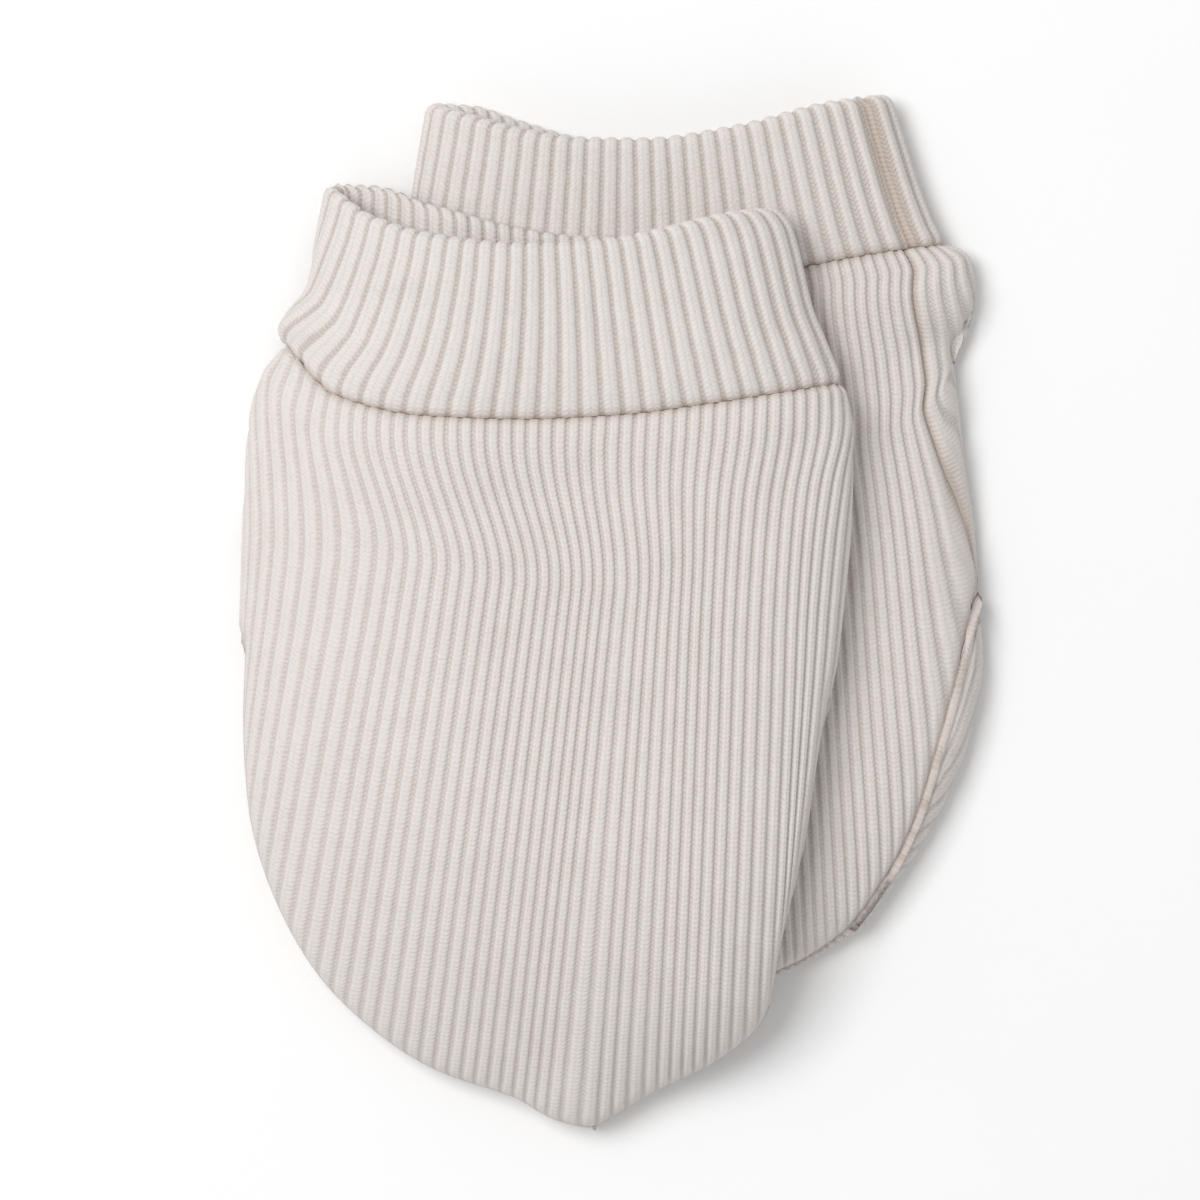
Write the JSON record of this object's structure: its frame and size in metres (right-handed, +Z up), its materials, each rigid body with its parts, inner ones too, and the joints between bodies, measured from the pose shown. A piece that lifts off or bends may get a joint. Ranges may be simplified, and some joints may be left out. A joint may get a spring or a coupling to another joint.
{
  "type": "pair of baby mittens",
  "caption": "Two rib-knit newborn mittens laid flat, one lying across the other, each a tapered cloth bag with a wide folded rib cuff and an open hollow.",
  "frame": {"origin": "bottom centre of the pair's box, on the surface that it lies on", "axes": "+Z up from the surface, +Y along the mittens towards the cuffs, +X across them to the lower mitten's free side"},
  "size_m": [0.087, 0.121, 0.0202],
  "materials": {
    "panel_rib": "soft matt fine rib knit, oatmeal",
    "cuff_rib": "soft matt wider rib knit, oatmeal"
  },
  "bodies": {
    "root": {"lower_mitten_cuff": "cuff_rib", "lower_mitten_top_panel": "panel_rib", "lower_mitten_under_panel": "panel_rib", "upper_mitten_cuff": "cuff_rib", "upper_mitten_top_panel": "panel_rib", "upper_mitten_under_panel": "panel_rib"}
  },
  "joints": []
}
